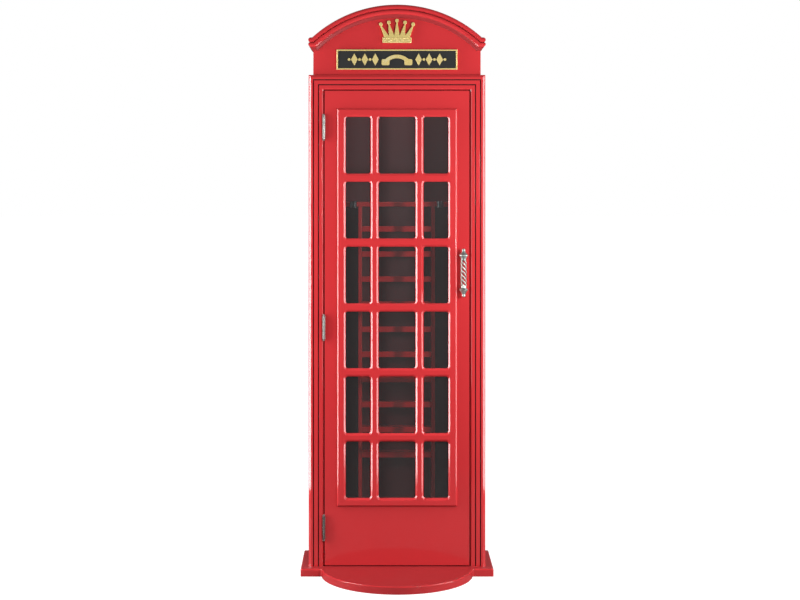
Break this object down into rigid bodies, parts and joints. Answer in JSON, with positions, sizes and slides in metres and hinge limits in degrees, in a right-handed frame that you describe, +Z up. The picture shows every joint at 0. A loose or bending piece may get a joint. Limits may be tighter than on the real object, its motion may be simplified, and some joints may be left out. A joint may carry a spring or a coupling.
{
  "type": "telephone booth cabinet",
  "caption": "Narrow red booth-shaped cabinet with a small-paned glazed door, arched pediment, gilt sign, rounded step, and a rack for cues and balls inside.",
  "frame": {"origin": "centre of the bounding box's base, on the floor", "axes": "+Z up, +X to the right as seen from the front, the door and the step face -Y"},
  "size_m": [0.638, 0.474, 1.8935],
  "materials": {
    "red_lacquer": "painted board in glossy signal red",
    "red_interior": "painted board in satin dark red",
    "red_rack": "painted board in satin signal red",
    "gilt": "cast metal, polished gold",
    "sign_black": "gloss black",
    "felt": "black felt",
    "clip_steel": "satin spring steel",
    "hinge_steel": "satin nickel",
    "screw_steel": "zinc",
    "pewter": "antique pewter",
    "smoked_glass": "smoked glass, clear",
    "catch_plastic": "black, moulded"
  },
  "bodies": {
    "cabinet": {"plinth_board": "red_lacquer", "side_board_left": "red_lacquer", "side_board_right": "red_lacquer", "frame_stile_left": "red_lacquer", "frame_stile_right": "red_lacquer", "frame_head": "red_lacquer", "door_stop_side": "red_lacquer", "door_stop_top": "red_lacquer", "pediment_front": "red_lacquer", "pediment_back": "red_lacquer", "pediment_side_left": "red_lacquer", "pediment_side_right": "red_lacquer", "roof_board": "red_lacquer", "cornice_arch": "red_lacquer", "cornice_ends": "red_lacquer", "cornice_side_left": "red_lacquer", "cornice_side_right": "red_lacquer", "ceiling_board": "red_interior", "back_panel": "red_interior", "cue_rail": "red_rack", "rack_upright_left": "red_rack", "rack_upright_right": "red_rack", "cue_base": "red_rack", "ball_shelf_01": "red_rack", "ball_shelf_02": "red_rack", "ball_shelf_03": "red_rack", "ball_shelf_04": "red_rack", "ball_shelf_05": "red_rack", "ball_shelf_06": "red_rack", "ball_shelf_07": "red_rack", "ball_shelf_08": "red_rack", "ball_shelf_09": "red_rack", "ball_shelf_10": "red_rack", "sign_border": "gilt", "sign_ornament": "gilt", "coronet": "gilt", "sign_plate": "sign_black", "cue_pads": "felt", "bay_liner_left": "felt", "bay_liner_right": "felt", "cue_clips_left": "clip_steel", "cue_clips_right": "clip_steel", "hinge_frame_leaves": "hinge_steel", "hinge_pins": "hinge_steel", "back_screws": "screw_steel", "hinge_screws_frame": "screw_steel", "magnetic_catch": "catch_plastic"},
    "door": {"door_slab": "red_lacquer", "glazing_grid": "red_lacquer", "glass_sheet": "smoked_glass", "glazing_beads": "red_lacquer", "hinge_door_leaves": "hinge_steel", "hinge_screws_door": "screw_steel", "handle_twist": "pewter", "handle_core": "red_lacquer", "handle_knop_upper": "pewter", "handle_knop_lower": "pewter", "handle_bolts": "screw_steel", "strike_plate": "screw_steel"}
  },
  "joints": [
    {"name": "door_swing", "type": "hinge", "parent": "cabinet", "child": "door", "pos_m": [-0.2425, 0.0102, 0.82], "axis": [0, 0, -1], "range_deg": [0, 170]}
  ]
}
